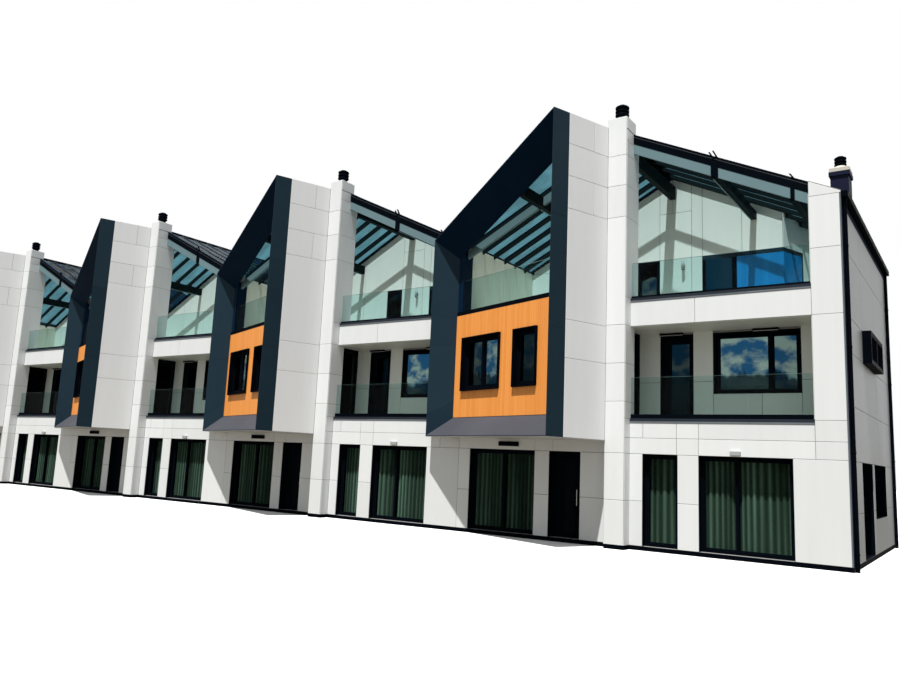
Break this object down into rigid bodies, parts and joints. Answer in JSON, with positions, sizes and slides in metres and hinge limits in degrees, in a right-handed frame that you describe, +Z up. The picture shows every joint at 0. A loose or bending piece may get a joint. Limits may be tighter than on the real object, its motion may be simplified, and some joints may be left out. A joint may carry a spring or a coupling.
{
  "type": "terraced house row",
  "caption": "Row of gabled terraced houses with turned framed bays, recessed loggias, glass-roofed roof terraces, chimney piers and hinged ground-level doors.",
  "frame": {"origin": "centre of the row's bounding box at ground level", "axes": "+X along the row towards its free end wall, +Y from the street front to the rear, +Z up"},
  "size_m": [39.793, 10.092, 11.14],
  "materials": {
    "concrete": "matt",
    "white_panel": "satin",
    "render": "matt",
    "black_metal": "satin",
    "dark_metal": "satin",
    "orange_board": "satin",
    "glass": "clear",
    "roof_metal": "matt",
    "grey_metal": "satin",
    "curtain": "matt",
    "door": "satin"
  },
  "bodies": {
    "house_row": {"floors": "concrete", "bay_floors": "concrete", "ground_walls": "white_panel", "front_bands": "white_panel", "party_walls": "render", "end_wall": "white_panel", "rear_walls": "white_panel", "rear_gables": "white_panel", "end_piers": "white_panel", "chimney_piers": "white_panel", "flue_cowls": "black_metal", "copings": "black_metal", "balustrades": "glass", "loggia_walls": "white_panel", "bay_flanks": "white_panel", "bay_jambs": "dark_metal", "bay_rails": "dark_metal", "bay_walls": "orange_board", "bay_returns": "dark_metal", "bay_window_boxes": "black_metal", "terrace_walls": "render", "terrace_returns": "render", "ground_frames": "black_metal", "door_frames": "black_metal", "door_hinges": "black_metal", "upper_frames": "black_metal", "ground_glass": "glass", "upper_glass": "glass", "roof_slabs": "roof_metal", "rafters": "grey_metal", "roof_glass": "glass", "purlins": "grey_metal", "fascia_beams": "grey_metal", "verge_trims": "black_metal", "gutters": "black_metal", "downpipes": "black_metal", "end_stack": "dark_metal", "wall_lights": "black_metal", "curtains": "curtain", "base_trims": "black_metal"},
    "door_1": {"front_door_1": "door"},
    "door_2": {"front_door_2": "door"},
    "door_3": {"front_door_3": "door"},
    "door_4": {"front_door_4": "door"},
    "end_door_leaf": {"end_door": "door"}
  },
  "joints": [
    {"name": "front_door_1_hinge", "type": "hinge", "parent": "house_row", "child": "door_1", "pos_m": [12.8755, -2.692, 1.1], "axis": [0, 0, 1], "range_deg": [0, 90]},
    {"name": "front_door_2_hinge", "type": "hinge", "parent": "house_row", "child": "door_2", "pos_m": [3.2055, -2.692, 1.1], "axis": [0, 0, 1], "range_deg": [0, 90]},
    {"name": "front_door_3_hinge", "type": "hinge", "parent": "house_row", "child": "door_3", "pos_m": [-6.4645, -2.692, 1.1], "axis": [0, 0, 1], "range_deg": [0, 90]},
    {"name": "front_door_4_hinge", "type": "hinge", "parent": "house_row", "child": "door_4", "pos_m": [-16.1345, -2.692, 1.1], "axis": [0, 0, 1], "range_deg": [0, 90]},
    {"name": "end_door_hinge", "type": "hinge", "parent": "house_row", "child": "end_door_leaf", "pos_m": [19.3845, -1.163, 1.1], "axis": [0, 0, 1], "range_deg": [0, 90]}
  ]
}
